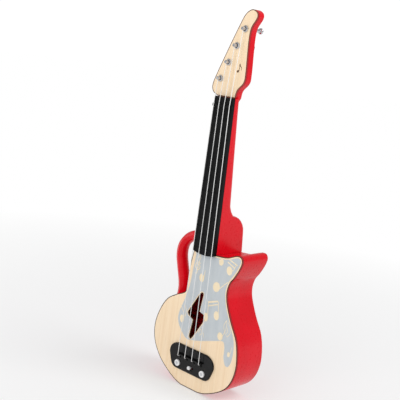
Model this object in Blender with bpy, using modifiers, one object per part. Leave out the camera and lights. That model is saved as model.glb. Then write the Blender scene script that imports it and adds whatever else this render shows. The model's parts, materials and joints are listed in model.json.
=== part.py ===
"""Toy electric guitar: four strings, wooden face plates, red plastic shells, carry handle
and a battery powered sound unit.  Metres, +Z up, neck upwards, strings towards -Y.
The origin is under the middle of the guitar, on the surface that it stands on."""
import math

import bmesh
import bpy
from mathutils import Matrix, Vector

MM = 0.001
GAP = 0.3 * MM                      # clearance between pieces that touch

# Driving dimensions.  A height called Z is measured from the nut, as in all outlines.
SCALE_LENGTH = 381 * MM             # nut to saddle
NUT_Z = 429.5 * MM                  # height of the nut over the bottom of the body
BODY_DEPTH = 60 * MM
BODY_TOP_Z = -215.5 * MM            # where the neck meets the body
BACK_Y = 34.5 * MM                  # flat back of the body
FACE_Y = BACK_Y - BODY_DEPTH        # front of the wooden face plate
PLATE = 3 * MM                      # thickness of the wood
WALL = 2.4 * MM                     # thickness of the plastic shells
EDGE_RADIUS = 3.5 * MM              # rounding of the back edge of the body

STRING_RADIUS = 0.5 * MM
STRING_Y = -BACK_Y + STRING_RADIUS  # the strings are the foremost things
STRING_FRONT = STRING_Y + STRING_RADIUS + GAP   # where nut and saddle stop under them
STRING_COUNT = 4
NUT_SPREAD = 30.3 * MM              # first to last string at the nut
SADDLE_SPREAD = 43 * MM
FRET_COUNT = 14

BOARD_FRONT = -31.8 * MM            # fretboard
BOARD_BACK = FACE_Y - GAP
BOARD_MARGIN = 2.3 * MM             # board beside the outer strings
BOARD_TOP_Z = 12.2 * MM
BOARD_END_Z = -216 * MM
BOARD_END_BULGE = 3.8 * MM
NUT_BACK = -29.5 * MM
NUT_MIDDLE_Z = -0.25 * MM
NUT_SIZE_Z = 4.5 * MM

NECK_END_Z = BODY_TOP_Z + GAP
NECK_Y = -12.2 * MM                 # back of the neck beside the nut
NECK_SLOPE = 0.085                  # the neck deepens towards the body
NECK_SWELL = 5 * MM                 # and more so close to the heel
NECK_SWELL_Z = -142 * MM
SHOULDER_Z = -160 * MM
HEEL_Z = -186 * MM                  # end of the round shoulder over the heel
HEEL_Y = 31.8 * MM
HEEL_SLOPE = 0.09                   # the heel deepens further down to the body
NECK_SCREWS = [("left", -9 * MM), ("right", 9 * MM)]
NECK_SCREW_Y = -6 * MM

HEAD_FRONT = FACE_Y + 0.8 * MM      # wooden face of the headstock
HEAD_BACK = HEAD_FRONT + 13.2 * MM
TRAY_FRONT = HEAD_FRONT + PLATE + GAP
HEAD_BLEND_Z = 32 * MM              # the neck runs out under the headstock up to here
PEG_START = (-16.2 * MM, 37.3 * MM)
PEG_STEP = (11.4 * MM, 24.1 * MM)
PEG_KNOB_FRONT = 4.8 * MM
PEG_KNOB_BACK = 10.8 * MM

PANEL_FRONT = FACE_Y - 3.2 * MM     # bridge and control panel
PANEL_BACK = FACE_Y - GAP
PANEL_WINDOW = (72 * MM, 30.4 * MM)
PANEL_WINDOW_Z = -388.2 * MM
SADDLE_BACK = PANEL_FRONT - GAP
STRING_TAIL_Z = -SCALE_LENGTH - 2 * MM   # the strings turn down behind the saddle here
PIN_Z = -SCALE_LENGTH - 4.6 * MM
BUTTON_Z = -396.3 * MM
BUTTONS = [("left", -24.8 * MM), ("right", 26.4 * MM)]
SLIDER_X = -0.2 * MM
SLIDER_TRAVEL = 5 * MM
CIRCUIT_FRONT = -15 * MM            # front of the circuit board
CIRCUIT = 1.6 * MM
CIRCUIT_Z = -389.5 * MM
BOARD_SCREW_X = 32 * MM
BOARD_SCREW_Z = -381.5 * MM

SLEEVE_FRONT = 18 * MM              # sleeves for the body screws, and the floor of their sinks
SINK_FLOOR = 21.5 * MM

BAY_X, BAY_Z = -27 * MM, -366 * MM  # middle of the battery bay
BAY_SIZE = (58 * MM, 45.5 * MM)
BAY_FLOOR = 16.8 * MM
SEAT = 2 * MM                       # step around the bay that the door lies in
DOOR = 2.4 * MM
DOOR_TAB = 8 * MM                   # the door reaches above the bay for its screw
CELL_COUNT = 3
CELL_RADIUS, CELL_LENGTH = 7.1 * MM, 50 * MM
CELL_STEP = 2.08 * CELL_RADIUS
CELL_Y = BAY_FLOOR + GAP + CELL_RADIUS

SPEAKER_X, SPEAKER_Z = 42 * MM, -364 * MM

HANDLE_Y = -4 * MM
HANDLE_RADIUS = 7.8 * MM
HANDLE_STRETCH = 1.3                # the handle's section is deeper than it is wide
HANDLE_TOP_Z = -198.5 * MM
HANDLE_FOOT_X = -54 * MM

# Outlines in the plane of the face: millimetres, x to the right and z from the nut.
# "corner" keeps a point sharp, and the outline is smooth through the others.
BODY_OUTLINE = [
    (19, -429.5, "corner"), (33, -426.3), (57, -415), (73, -402), (82.5, -384), (85.6, -361),
    (79.5, -329), (64.5, -303), (52.5, -277), (50.3, -262), (53.5, -248.5), (59.5, -240),
    (67.3, -225.5), (70.8, -213.5), (67.5, -206.8), (60, -206), (42, -213.2),
    (23.6, -215.5, "corner"), (-23.2, -215.5, "corner"), (-27.4, -245), (-28, -270),
    (-28.6, -281.5), (-32.5, -286.8), (-47.5, -294.3), (-65.5, -306.5),
    (-79, -329), (-85.6, -355), (-81.5, -380), (-66, -402.5), (-44, -418.5), (-30, -425.5),
    (-17, -429.5, "corner"),
]
HEAD_OUTLINE = [
    (-18, 12.5, "corner"), (-27, 17), (-30.3, 24), (-28.4, 34), (-14.7, 67), (7.6, 117),
    (15.7, 131), (26, 136.9), (35.5, 133), (36.8, 126), (28.7, 112), (27, 98), (27.6, 80),
    (29.4, 42), (27.2, 34), (17.8, 23.5), (15.5, 12.5, "corner"),
]
HEAD_HOLLOW = [
    (-14, 19, "corner"), (-24, 22), (-27, 26.5), (-25.2, 34.5), (-11.8, 68), (10.3, 117.5),
    (17.5, 128.8), (26, 133.8), (33, 130), (33.4, 126), (25.9, 112.5), (24, 98), (24.6, 80),
    (26.4, 43), (24.6, 35.5), (15.6, 24.5), (13, 19, "corner"),
]
BOLT_OUTLINE = [
    (3.2, -276.8), (6.3, -278.6), (5.8, -285, "corner"), (2.8, -306.5, "corner"),
    (11.5, -309.3), (15, -313.8), (13.6, -318.2, "corner"), (-4.5, -349, "corner"),
    (-8.3, -352.9), (-11.4, -350), (-10.9, -342.5, "corner"), (-7.8, -323, "corner"),
    (-16.5, -318.7), (-19.8, -314.6), (-18, -310.3, "corner"), (-1.2, -281.2, "corner"),
]
FRAME_OPENING = [
    (17, -420, "corner"), (37, -413.5), (51, -406.5), (64, -396), (72.5, -380), (75.6, -361),
    (70, -333), (55, -307), (42.5, -280), (40.2, -262), (43.5, -245), (50, -235),
    (56, -224.5), (44, -223.5), (13, -226, "corner"), (-13, -226, "corner"), (-17, -246),
    (-18, -288, "corner"), (-26, -294), (-42, -302.5), (-57.5, -313.5), (-69.5, -333),
    (-75.5, -355), (-72, -377), (-59, -394.5), (-39.5, -409), (-17, -420, "corner"),
]
PANEL_OUTLINE = [
    (36, -366, "corner"), (47.5, -378.5, "corner"), (37, -406, "corner"),
    (-37, -406, "corner"), (-47, -378.5, "corner"), (-36, -366, "corner"),
]
HANDLE_PATH = [(-14, -198.5), (-38, -201), (-54, -208.5), (-64, -221.5), (-66, -238),
               (-61, -257), (-55.5, -275), (-53.5, -290), (-56, -310)]
FRAME_BOSSES = [(-76.5, -350), (-53, -402), (57.5, -404.5), (77, -347), (44, -250)]
GRILLE_SLOTS = [(-15, 17), (-10, 27), (-5, 33), (0, 36), (5, 33), (10, 27), (15, 17)]


# ---------------------------------------------------------------- scene and materials

def clear_scene():
    for item in list(bpy.data.objects):
        bpy.data.objects.remove(item, do_unlink=True)
    for group in list(bpy.data.collections):
        bpy.data.collections.remove(group)


def make_collection(name):
    group = bpy.data.collections.new(name)
    bpy.context.scene.collection.children.link(group)
    return group


def make_material(name, colour, roughness, metallic=0.0):
    material = bpy.data.materials.new(name)
    material.use_nodes = True
    material.diffuse_color = (*colour, 1)
    shader = material.node_tree.nodes["Principled BSDF"]
    shader.inputs["Base Color"].default_value = (*colour, 1)
    shader.inputs["Roughness"].default_value = roughness
    shader.inputs["Metallic"].default_value = metallic
    return material


def add_part(name, mesh, material, origin=(0, 0, 0)):
    """Link a mesh, drawn in world coordinates, as a part whose origin is at a given point."""
    mesh.transform(Matrix.Translation(-Vector(origin)))
    mesh.materials.clear()
    mesh.materials.append(material)
    mesh.shade_smooth()
    mesh.set_sharp_from_angle(angle=math.radians(35))
    part = bpy.data.objects.new(name, mesh)
    part.location = origin
    PARTS.objects.link(part)
    return part


def add_cutter(name, mesh):
    cutter = bpy.data.objects.new(name, mesh)
    cutter.display_type = "WIRE"
    cutter.hide_render = True
    CUTTERS.objects.link(cutter)
    return cutter


def combine(part, operation, name, mesh):
    """Join or cut a part with another solid: operation is UNION, DIFFERENCE or INTERSECT."""
    modifier = part.modifiers.new(name, "BOOLEAN")
    modifier.operation = operation
    modifier.solver = "EXACT"
    modifier.object = add_cutter(part.name + "_" + name, mesh)


# ---------------------------------------------------------------- outlines

def smooth_outline(points, steps=4):
    """Points in metres along a closed smooth line through the given points."""
    places = [Vector((p[0] * MM, p[1] * MM)) for p in points]
    sharp = [len(p) > 2 for p in points]
    count = len(points)
    line = []
    for i in range(count):
        a, b = places[i], places[(i + 1) % count]
        before, after = places[i - 1], places[(i + 2) % count]
        length = (b - a).length
        start, end = b - a, b - a
        if not sharp[i]:
            start = (b - before) * length / (length + (a - before).length)
        if not sharp[(i + 1) % count]:
            end = (after - a) * length / (length + (after - b).length)
        straight = sharp[i] and sharp[(i + 1) % count]
        for k in range(1 if straight else steps):
            t = k / steps
            line.append(a * (2 * t**3 - 3 * t**2 + 1) + start * (t**3 - 2 * t**2 + t)
                        + b * (3 * t**2 - 2 * t**3) + end * (t**3 - t**2))
    return line


def moved_outline(line, distance):
    """The outline moved outwards by a distance, or inwards by a negative one."""
    area = sum(a.x * b.y - b.x * a.y for a, b in zip(line, line[1:] + line[:1]))
    side = 1 if area > 0 else -1
    moved = []
    for i, point in enumerate(line):
        along = (point - line[i - 1]).normalized()
        onward = (line[(i + 1) % len(line)] - point).normalized()
        normal = Vector((along.y + onward.y, -along.x - onward.x)).normalized() * side
        stretch = max(normal.dot(Vector((along.y, -along.x)) * side), 0.5)
        moved.append(point + normal * distance / stretch)
    return moved


# ---------------------------------------------------------------- solids

def finish_mesh(name, solid):
    bmesh.ops.recalc_face_normals(solid, faces=solid.faces)
    if solid.calc_volume(signed=True) < 0:
        bmesh.ops.reverse_faces(solid, faces=solid.faces)
    mesh = bpy.data.meshes.new(name)
    solid.to_mesh(mesh)
    solid.free()
    return mesh


def prism(name, line, front, back):
    """A flat outline, given from the nut, as a solid between two depths."""
    solid = bmesh.new()
    ring = [solid.verts.new((p.x, front, p.y + NUT_Z)) for p in line]
    face = solid.faces.new(ring)
    pushed = bmesh.ops.extrude_face_region(solid, geom=[face])["geom"]
    moved = [item for item in pushed if isinstance(item, bmesh.types.BMVert)]
    bmesh.ops.translate(solid, verts=moved, vec=(0, back - front, 0))
    return finish_mesh(name, solid)


def rounded_prism(name, line, front, back, radius, steps=3):
    """A prism whose back edge is rounded."""
    solid = bmesh.new()
    levels = [(front, 0.0)]
    for k in range(steps + 1):
        turn = math.pi / 2 * k / steps
        levels.append((back - radius * (1 - math.sin(turn)), radius * (1 - math.cos(turn))))
    rings = []
    for y, inset in levels:
        ring = moved_outline(line, -inset) if inset else line
        rings.append([solid.verts.new((p.x, y, p.y + NUT_Z)) for p in ring])
    for near, far in zip(rings, rings[1:]):
        for i in range(len(near)):
            j = (i + 1) % len(near)
            solid.faces.new((near[i], near[j], far[j], far[i]))
    solid.faces.new(rings[0])
    solid.faces.new(rings[-1])
    return finish_mesh(name, solid)


def block(name, size, middle, rounding=0.0, segments=2):
    solid = bmesh.new()
    bmesh.ops.create_cube(solid, size=1)
    bmesh.ops.scale(solid, vec=size, verts=solid.verts)
    if rounding:
        bmesh.ops.bevel(solid, geom=list(solid.edges), offset=rounding, segments=segments,
                        affect="EDGES", profile=0.5)
    bmesh.ops.translate(solid, vec=middle, verts=solid.verts)
    return finish_mesh(name, solid)


def cylinder(name, radius, start, end, sides=16):
    """A round bar between two points."""
    start, end = Vector(start), Vector(end)
    turn = (end - start).to_track_quat("Z", "Y").to_matrix().to_4x4()
    solid = bmesh.new()
    bmesh.ops.create_cone(solid, cap_ends=True, segments=sides, radius1=radius,
                          radius2=radius, depth=(end - start).length,
                          matrix=Matrix.Translation((start + end) / 2) @ turn)
    return finish_mesh(name, solid)


def slot(name, length, width, middle, front, back):
    """A round-ended slot along X, cut from front to back."""
    half = (length - width) / 2
    line = []
    for side, first in ((1, -90), (-1, 90)):
        for k in range(7):
            turn = math.radians(first + 30 * k)
            line.append(Vector((middle[0] + side * half + math.cos(turn) * width / 2,
                                middle[1] + math.sin(turn) * width / 2)))
    return prism(name, line, front, back)


def add_turned(name, profile, centre, material, sides=20, closed=False, axis=(0, -1, 0)):
    """A turned part: radius and height pairs, from the top down the outer side, round an axis
    through centre.  Heights grow along the axis.  closed joins the last point to the first."""
    count = len(profile)
    edges = [(i, (i + 1) % count) for i in range(count if closed else count - 1)]
    mesh = bpy.data.meshes.new(name)
    mesh.from_pydata([(radius, 0, height) for radius, height in profile], edges, [])
    mesh.materials.append(material)
    part = bpy.data.objects.new(name, mesh)
    part.location = centre
    part.rotation_euler = Vector(axis).to_track_quat("Z", "Y").to_euler()
    screw = part.modifiers.new("turn", "SCREW")
    screw.steps = screw.render_steps = sides
    screw.use_merge_vertices = True
    screw.merge_threshold = 0.00001
    screw.use_smooth_shade = True
    PARTS.objects.link(part)
    return part


def add_screw(name, seat, axis, shank, head=1.6 * MM):
    """A screw whose head lies on seat and whose shank points along axis."""
    profile = [(0, head), (1.5 * MM, head), (2.2 * MM, head * 0.6), (2.2 * MM, 0),
               (1.1 * MM, 0), (1.1 * MM, 1 * MM - shank), (0, -shank)]
    return add_turned(name, profile, seat, STEEL, sides=10, axis=-Vector(axis))


def tube_mesh(name, points, radius, resolution=2):
    """A tube with closed ends along a line of points."""
    curve = bpy.data.curves.new(name, "CURVE")
    curve.dimensions = "3D"
    curve.bevel_depth = radius
    curve.bevel_resolution = resolution
    curve.use_fill_caps = True
    spline = curve.splines.new("POLY")
    spline.points.add(len(points) - 1)
    for target, point in zip(spline.points, points):
        target.co = (*point, 1)
    holder = bpy.data.objects.new(name, curve)
    bpy.context.scene.collection.objects.link(holder)
    bpy.context.view_layer.update()
    seen = holder.evaluated_get(bpy.context.evaluated_depsgraph_get())
    solid = bmesh.new()
    solid.from_mesh(bpy.data.meshes.new_from_object(seen))
    bmesh.ops.remove_doubles(solid, verts=solid.verts, dist=0.00001)
    bpy.data.objects.remove(holder)
    return finish_mesh(name, solid)


def soft_path(points, steps=5):
    """An open smooth line through points in the face plane, at the handle's depth."""
    line = []
    places = [Vector(p) * MM for p in points]
    for i in range(len(places) - 1):
        before = places[max(i - 1, 0)]
        after = places[min(i + 2, len(places) - 1)]
        for k in range(steps):
            t = k / steps
            start, end = (places[i + 1] - before) / 2, (after - places[i]) / 2
            line.append(places[i] * (2 * t**3 - 3 * t**2 + 1) + start * (t**3 - 2 * t**2 + t)
                        + places[i + 1] * (3 * t**2 - 2 * t**3) + end * (t**3 - t**2))
    return line + [places[-1]]


# ---------------------------------------------------------------- neck

def board_half_width(z):
    """Half the width of the fretboard at a height from the nut."""
    spread = NUT_SPREAD + (SADDLE_SPREAD - NUT_SPREAD) * max(-z, 0) / SCALE_LENGTH
    return spread / 2 + BOARD_MARGIN


def neck_back(z):
    """Depth of the back of the neck: it runs out at the headstock, and has a round shoulder
    over the heel."""
    if z > SHOULDER_Z:
        swell = max((NECK_SWELL_Z - z) / (NECK_SWELL_Z - SHOULDER_Z), 0)
        return NECK_Y - NECK_SLOPE * z + NECK_SWELL * swell**2
    climb = max((z - HEEL_Z) / (SHOULDER_Z - HEEL_Z), 0)
    start = NECK_Y - NECK_SLOPE * SHOULDER_Z + NECK_SWELL
    return start + (HEEL_Y - start) * math.sqrt(1 - climb**2) + HEEL_SLOPE * max(HEEL_Z - z, 0)


def neck_section(z, inset):
    """Outline of the neck across its length: flat in front, round behind.  Above the board
    it narrows, and its front lies behind the wooden face of the headstock."""
    half = board_half_width(z) - inset
    front = FACE_Y - (1 * MM if inset else 0)
    if z > BOARD_TOP_Z:
        half -= 0.45 * (z - BOARD_TOP_Z)
        front = TRAY_FRONT + 0.5 * MM
    back = neck_back(z) - inset
    heel = max(min((-150 * MM - z) / (30 * MM), 1), 0)
    power = 3.2 + 8 * heel
    shoulder = front + (back - front) * (0.3 + 0.35 * heel)
    points = [(half, front)]
    steps = 12
    for k in range(steps + 1):
        turn = math.pi * k / steps
        x = math.copysign(abs(math.cos(turn)) ** (2 / power), math.cos(turn)) * half
        y = math.sin(turn) ** (2 / power) * (back - shoulder)
        points.append((x, shoulder + y))
    points.append((-half, front))
    return points


def loft(name, sections):
    """A solid through outlines with equally many points: (height, [(x, y), ...])."""
    solid = bmesh.new()
    rings = [[solid.verts.new((x, y, z + NUT_Z)) for x, y in line] for z, line in sections]
    for low, high in zip(rings, rings[1:]):
        for i in range(len(low)):
            j = (i + 1) % len(low)
            solid.faces.new((low[i], low[j], high[j], high[i]))
    solid.faces.new(rings[0])
    solid.faces.new(rings[-1])
    return finish_mesh(name, solid)


def neck_loft(name, bottom, top, inset):
    stations = [25, 19, 14, 12.25, 12.2, 6, 0, -25, -80, -130, -145, -153, -160, -161, -164,
                -168, -173, -179, -186, -200]
    heights = [top] + [z * MM for z in stations if bottom < z * MM < top] + [bottom]
    return loft(name, [(z, neck_section(z, inset)) for z in heights])


def peg_place(i):
    return PEG_START[0] + PEG_STEP[0] * i, PEG_START[1] + PEG_STEP[1] * i


def make_neck_shell():
    part = add_part("neck_shell", neck_loft("neck_shell", NECK_END_Z, HEAD_BLEND_Z, 0),
                    RED)
    line = smooth_outline([(-9, 3, "corner")] + HEAD_OUTLINE + [(9, 3, "corner")])
    combine(part, "UNION", "head", prism("head", line, TRAY_FRONT, HEAD_BACK))
    combine(part, "DIFFERENCE", "head_hollow",
            prism("head_hollow", smooth_outline(HEAD_HOLLOW, 3), TRAY_FRONT - 1 * MM,
                  HEAD_BACK - WALL))
    combine(part, "DIFFERENCE", "neck_hollow",
            neck_loft("neck_hollow", NECK_END_Z + 4 * MM, -4 * MM, WALL))
    for side, x in NECK_SCREWS:
        combine(part, "DIFFERENCE", "screw_hole_" + side,
                cylinder("hole", 1.3 * MM, (x, NECK_SCREW_Y, NECK_END_Z + NUT_Z - 2 * MM),
                         (x, NECK_SCREW_Y, NECK_END_Z + NUT_Z + 6 * MM), 10))
    start, end = handle_screw_line("upper", 8 * MM, 8 * MM)
    combine(part, "DIFFERENCE", "handle_hole", cylinder("hole", 1.5 * MM, start, end, 10))
    for i in range(STRING_COUNT):
        x, z = peg_place(i)
        combine(part, "DIFFERENCE", f"peg_hole_{i + 1}",
                cylinder("peg_hole", 2.8 * MM, (x, HEAD_BACK - 5 * MM, z + NUT_Z),
                         (x, HEAD_BACK + 5 * MM, z + NUT_Z)))


def make_fretboard():
    """A tapered board with moulded frets, a slot for the nut and a curved end."""
    fret = 0.6 * MM
    levels = [(BOARD_TOP_Z, 0)]
    for n in range(1, FRET_COUNT + 1):
        z = -SCALE_LENGTH * (1 - 2 ** (-n / 12))
        levels += [(z + 1.1 * MM, 0), (z + 0.5 * MM, fret), (z - 0.5 * MM, fret),
                   (z - 1.1 * MM, 0)]
    levels.append((BOARD_END_Z - 8 * MM, 0))
    sections = []
    for z, rise in levels:
        half = board_half_width(z)
        front = BOARD_FRONT - rise
        sections.append((z, [(half, BOARD_BACK), (-half, BOARD_BACK),
                             (-half, BOARD_FRONT + 1 * MM), (-half + 1 * MM, front),
                             (half - 1 * MM, front), (half, BOARD_FRONT + 1 * MM)]))
    part = add_part("fretboard", loft("fretboard", sections), BLACK)
    half = 24 * MM
    line = [Vector((half, BOARD_TOP_Z + 5 * MM)), Vector((-half, BOARD_TOP_Z + 5 * MM))]
    for k in range(13):
        x = -half + half * k / 6
        line.append(Vector((x, BOARD_END_Z - BOARD_END_BULGE * (1 - (x / half) ** 2))))
    combine(part, "INTERSECT", "end", prism("end", line, BOARD_FRONT - 3 * MM,
                                            BOARD_BACK + 3 * MM))
    combine(part, "DIFFERENCE", "nut_slot",
            block("nut_slot", (60 * MM, 5 * MM, NUT_SIZE_Z + 2 * GAP),
                  (0, NUT_BACK + GAP - 2.5 * MM, NUT_Z + NUT_MIDDLE_Z)))


def make_nut():
    size = (2 * board_half_width(0) + 1.6 * MM, NUT_BACK - STRING_FRONT, NUT_SIZE_Z)
    middle = (0, (STRING_FRONT + NUT_BACK) / 2, NUT_Z + NUT_MIDDLE_Z)
    add_part("nut", block("nut", size, middle, 0.7 * MM), BLACK)


def make_headstock_face():
    line = smooth_outline(HEAD_OUTLINE)
    part = add_part("headstock_face",
                    prism("headstock_face", line, HEAD_FRONT, HEAD_FRONT + PLATE), WOOD)
    for i in range(STRING_COUNT):
        x, z = peg_place(i)
        combine(part, "DIFFERENCE", f"peg_hole_{i + 1}",
                cylinder("peg_hole", 2.9 * MM, (x, HEAD_FRONT - 1 * MM, z + NUT_Z),
                         (x, HEAD_FRONT + PLATE + 1 * MM, z + NUT_Z)))


def make_tuners():
    front = HEAD_FRONT - 8 * MM
    for i in range(STRING_COUNT):
        x, z = peg_place(i)
        centre = (x, 0, z + NUT_Z)
        washer = HEAD_FRONT - GAP
        ring = [(3, 1.8 * MM - washer), (4.1, 1.8 * MM - washer), (4.8, 1.1 * MM - washer),
                (4.8, -washer), (3, -washer)]
        add_turned(f"tuner_bushing_{i + 1}", [(r * MM, h) for r, h in ring], centre, CHROME,
                   sides=16, closed=True)
        post = [(0, -front), (2.0, -front), (2.5, -front - 0.5 * MM), (2.5, -front - 1.6 * MM),
                (2.1, -front - 2.2 * MM), (2.1, -front - 3.0 * MM), (2.5, -front - 3.6 * MM),
                (2.5, -PEG_KNOB_FRONT + GAP), (0, -PEG_KNOB_FRONT + GAP)]
        add_turned(f"tuner_post_{i + 1}", [(r * MM, h) for r, h in post], centre, CHROME,
                   sides=12)
        knob = [(0, -PEG_KNOB_FRONT), (2.7, -PEG_KNOB_FRONT), (2.7, -PEG_KNOB_FRONT - 1.6 * MM),
                (3.9, -PEG_KNOB_FRONT - 2.1 * MM), (4.5, -PEG_KNOB_FRONT - 2.9 * MM),
                (4.5, -PEG_KNOB_BACK + 1.6 * MM), (3.8, -PEG_KNOB_BACK + 0.6 * MM),
                (2.0, -PEG_KNOB_BACK), (0, -PEG_KNOB_BACK)]
        add_turned(f"tuner_knob_{i + 1}", [(r * MM, h) for r, h in knob], centre, CHROME,
                   sides=16)


# ---------------------------------------------------------------- body

def handle_screw_line(which, before, after):
    """Both ends of a line along a handle screw, starting inside the guitar.  The line is
    square to the side of the heel, or to the shoulder of the body."""
    if which == "upper":
        seat = Vector((-board_half_width(HANDLE_TOP_Z), HANDLE_Y, HANDLE_TOP_Z + NUT_Z))
        axis = Vector((-1, 0, 0))
    else:
        line = smooth_outline(BODY_OUTLINE)
        a, b = next((a, b) for a, b in zip(line, line[1:]) if b.x < HANDLE_FOOT_X <= a.x)
        foot = a.lerp(b, (HANDLE_FOOT_X - a.x) / (b.x - a.x))
        seat = Vector((foot.x, HANDLE_Y, foot.y + NUT_Z))
        axis = Vector((b.y - a.y, 0, a.x - b.x)).normalized()
    return seat - axis * before, seat + axis * after


def make_body_shell():
    line = smooth_outline(BODY_OUTLINE)
    front = FACE_Y + PLATE + GAP
    part = add_part("body_shell", rounded_prism("body_shell", line, front, BACK_Y, EDGE_RADIUS),
                    RED)
    combine(part, "DIFFERENCE", "hollow",
            prism("hollow", moved_outline(line, -WALL), front - 1 * MM, BACK_Y - WALL))
    middle = (BAY_X, 0, BAY_Z + NUT_Z)
    add_bay(part, middle)
    for i, (x, width) in enumerate(GRILLE_SLOTS):
        place = (SPEAKER_X, SPEAKER_Z + x * MM)
        combine(part, "DIFFERENCE", f"grille_{i + 1}",
                slot("grille", width * MM, 2.2 * MM, place, BACK_Y - 6 * MM, BACK_Y + 2 * MM))
    for i, (x, z) in enumerate(FRAME_BOSSES):
        foot = Vector((x * MM, 0, z * MM + NUT_Z))
        add_sleeve(part, i + 1, foot)
    for side, x in NECK_SCREWS:
        combine(part, "DIFFERENCE", "neck_hole_" + side,
                cylinder("hole", 1.5 * MM, (x, NECK_SCREW_Y, BODY_TOP_Z + NUT_Z - 6 * MM),
                         (x, NECK_SCREW_Y, BODY_TOP_Z + NUT_Z + 4 * MM), 10))
    start, end = handle_screw_line("lower", 8 * MM, 4 * MM)
    combine(part, "DIFFERENCE", "handle_hole", cylinder("hole", 1.5 * MM, start, end, 10))


def add_bay(part, middle):
    """The battery bay: a box inside the back wall, open to the back, with a step for the door
    and a boss above it for the door's screw."""
    x, _, z = middle
    outer = [s + 2 * (SEAT + WALL) for s in BAY_SIZE]
    top = BAY_FLOOR - WALL
    inside = BACK_Y - 1.2 * MM
    combine(part, "UNION", "bay", block("bay", (outer[0], inside - top, outer[1]),
                                        (x, (inside + top) / 2, z)))
    deep = BACK_Y + 5 * MM
    seat_floor = BACK_Y - DOOR - GAP
    lip_z = z + outer[1] / 2 + DOOR_TAB / 2 - 1 * MM
    lip_top = seat_floor - WALL
    combine(part, "UNION", "lip", block("lip", (outer[0] - 1 * MM, inside - lip_top,
                                                DOOR_TAB + 2 * MM),
                                        (x, (inside + lip_top) / 2, lip_z)))
    screw = Vector((x, 0, z + BAY_SIZE[1] / 2 + SEAT + DOOR_TAB / 2))
    combine(part, "UNION", "door_boss",
            cylinder("door_boss", 3.2 * MM, screw + Vector((0, BAY_FLOOR, 0)),
                     screw + Vector((0, lip_top + 1 * MM, 0)), 12))
    combine(part, "DIFFERENCE", "bay_pocket",
            block("bay_pocket", (BAY_SIZE[0], deep - BAY_FLOOR, BAY_SIZE[1]),
                  (x, (deep + BAY_FLOOR) / 2, z)))
    combine(part, "DIFFERENCE", "bay_seat",
            block("bay_seat", (BAY_SIZE[0] + 2 * SEAT, deep - seat_floor,
                               BAY_SIZE[1] + 2 * SEAT + DOOR_TAB),
                  (x, (deep + seat_floor) / 2, z + DOOR_TAB / 2)))
    combine(part, "DIFFERENCE", "door_screw_hole",
            cylinder("door_screw_hole", 1.5 * MM, screw + Vector((0, BAY_FLOOR + 2 * MM, 0)),
                     screw + Vector((0, deep, 0)), 10))


def add_sleeve(part, number, foot):
    """A sleeve behind the back wall with a sunk hole for a body screw."""
    def at(y):
        return foot + Vector((0, y, 0))
    combine(part, "UNION", f"sleeve_{number}",
            cylinder("sleeve", 4.4 * MM, at(SLEEVE_FRONT), at(BACK_Y - 1.2 * MM)))
    combine(part, "DIFFERENCE", f"sink_{number}",
            cylinder("sink", 2.8 * MM, at(SINK_FLOOR), at(BACK_Y + 2 * MM), 12))
    combine(part, "DIFFERENCE", f"screw_hole_{number}",
            cylinder("screw_hole", 1.5 * MM, at(SLEEVE_FRONT - 2 * MM), at(SINK_FLOOR + 1 * MM),
                     12))


def make_face_plate():
    line = smooth_outline(BODY_OUTLINE)
    part = add_part("face_plate", prism("face_plate", line, FACE_Y, FACE_Y + PLATE), WOOD)
    combine(part, "DIFFERENCE", "sound_hole",
            prism("sound_hole", smooth_outline(BOLT_OUTLINE), FACE_Y - 2 * MM,
                  FACE_Y + PLATE + 2 * MM))
    combine(part, "DIFFERENCE", "panel_window",
            block("panel_window", (PANEL_WINDOW[0], 8 * MM, PANEL_WINDOW[1]),
                  (0, FACE_Y + PLATE / 2, PANEL_WINDOW_Z + NUT_Z)))


def make_front_frame():
    """A ring glued behind the face plate, with the bosses that the body screws bite into."""
    line = smooth_outline(BODY_OUTLINE)
    front = FACE_Y + PLATE + GAP
    back = front + 3 * MM
    part = add_part("front_frame",
                    prism("front_frame", moved_outline(line, -WALL - GAP), front, back), GREY)
    combine(part, "DIFFERENCE", "middle",
            prism("middle", smooth_outline(FRAME_OPENING, 3), front - 1 * MM, back + 1 * MM))
    for i, (x, z) in enumerate(FRAME_BOSSES):
        foot = Vector((x * MM, 0, z * MM + NUT_Z))
        start = foot + Vector((0, back - 1.5 * MM, 0))
        end = foot + Vector((0, SLEEVE_FRONT - GAP, 0))
        combine(part, "UNION", f"boss_{i + 1}", cylinder("boss", 3.2 * MM, start, end, 12))
        hole = foot + Vector((0, 2 * MM, 0))
        combine(part, "DIFFERENCE", f"boss_hole_{i + 1}",
                cylinder("boss_hole", 1.3 * MM, hole, end + Vector((0, 1 * MM, 0)), 10))
        add_screw(f"body_screw_{i + 1}", foot + Vector((0, SINK_FLOOR + GAP, 0)), (0, -1, 0),
                  15 * MM)


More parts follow.
